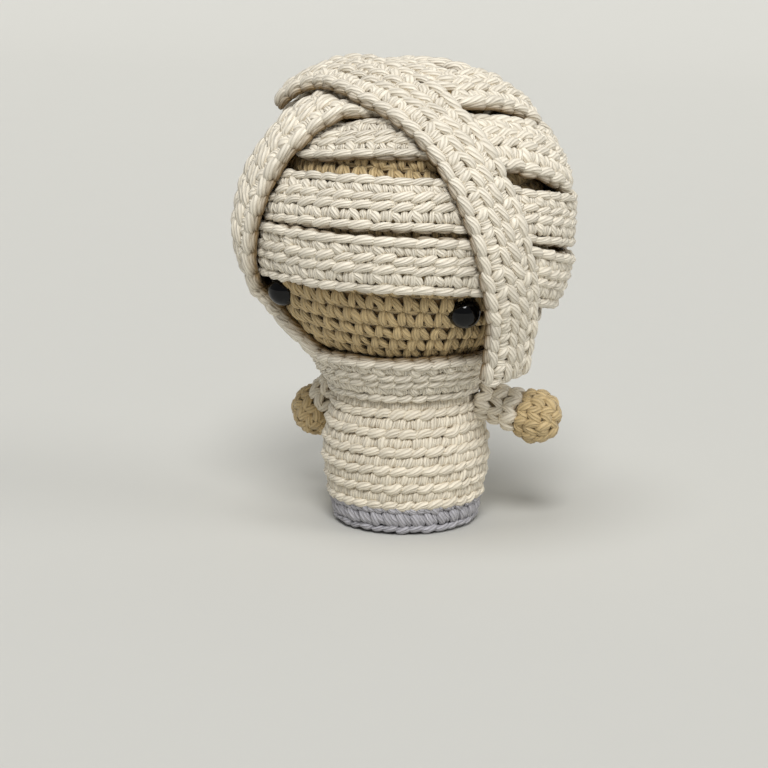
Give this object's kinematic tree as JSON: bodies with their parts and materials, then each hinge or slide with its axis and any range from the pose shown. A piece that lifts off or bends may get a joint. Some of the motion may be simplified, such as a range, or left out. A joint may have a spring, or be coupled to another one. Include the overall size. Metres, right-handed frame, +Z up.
{
  "type": "crochet doll",
  "caption": "Small stuffed crochet mummy doll with a round head wrapped in knotted-edge crocheted bandage strips, bead-like safety eyes, short arms and a flat base.",
  "frame": {"origin": "centre of the flat underside of the base, on the surface it stands on", "axes": "+Z up through the head, -Y the way the face looks, +X the doll's own left hand side"},
  "size_m": [0.0856, 0.0844, 0.1214],
  "materials": {
    "cream_yarn": "soft cotton yarn, crocheted in the back loops",
    "bandage_yarn": "slightly shiny plied cotton yarn in flat crocheted strips",
    "tan_yarn": "plied cotton yarn in single crochet",
    "grey_yarn": "grey plied cotton yarn in single crochet",
    "fibre_fill": "white polyester fibre filling",
    "eye_plastic": "polished black",
    "clear_plastic": "milky plain plastic"
  },
  "bodies": {
    "torso": {"base_cup": "grey_yarn", "base_stiffener_disc": "clear_plastic", "body_tube": "cream_yarn", "body_stuffing": "fibre_fill", "neck_seam_yarn": "cream_yarn"},
    "head": {"head_skin": "tan_yarn", "head_stuffing": "fibre_fill", "left_eye": "eye_plastic", "right_eye": "eye_plastic", "left_eye_washer": "clear_plastic", "right_eye_washer": "clear_plastic", "chin_scarf": "bandage_yarn", "brow_band": "bandage_yarn", "forehead_band": "bandage_yarn", "upper_band": "bandage_yarn", "crown_under_strip": "bandage_yarn", "crown_front_strip": "bandage_yarn", "crown_middle_strip": "bandage_yarn", "crown_rear_strip": "bandage_yarn", "diagonal_strip": "bandage_yarn", "right_side_strip": "bandage_yarn", "back_wrap_strip": "bandage_yarn", "nape_upper_band": "bandage_yarn", "nape_lower_band": "bandage_yarn"},
    "left_arm": {"left_sleeve": "cream_yarn", "left_hand": "tan_yarn", "left_arm_stuffing": "fibre_fill"},
    "right_arm": {"right_sleeve": "cream_yarn", "right_hand": "tan_yarn", "right_arm_stuffing": "fibre_fill"}
  },
  "joints": [
    {"name": "head_turn", "type": "hinge", "parent": "torso", "child": "head", "pos_m": [0, 0, 0.043], "axis": [0, 0, 1], "range_deg": [-12, 12], "stiffness_Nm_per_rad": 0.02},
    {"name": "left_arm_swing", "type": "hinge", "parent": "torso", "child": "left_arm", "pos_m": [0.02313, 0.00202, 0.0315], "axis": [0.0872, -0.9962, 0], "range_deg": [-42, 22], "stiffness_Nm_per_rad": 0.005},
    {"name": "right_arm_swing", "type": "hinge", "parent": "torso", "child": "right_arm", "pos_m": [-0.02121, 0.00944, 0.0315], "axis": [0.4067, 0.9135, 0], "range_deg": [-13, 51], "stiffness_Nm_per_rad": 0.005}
  ]
}
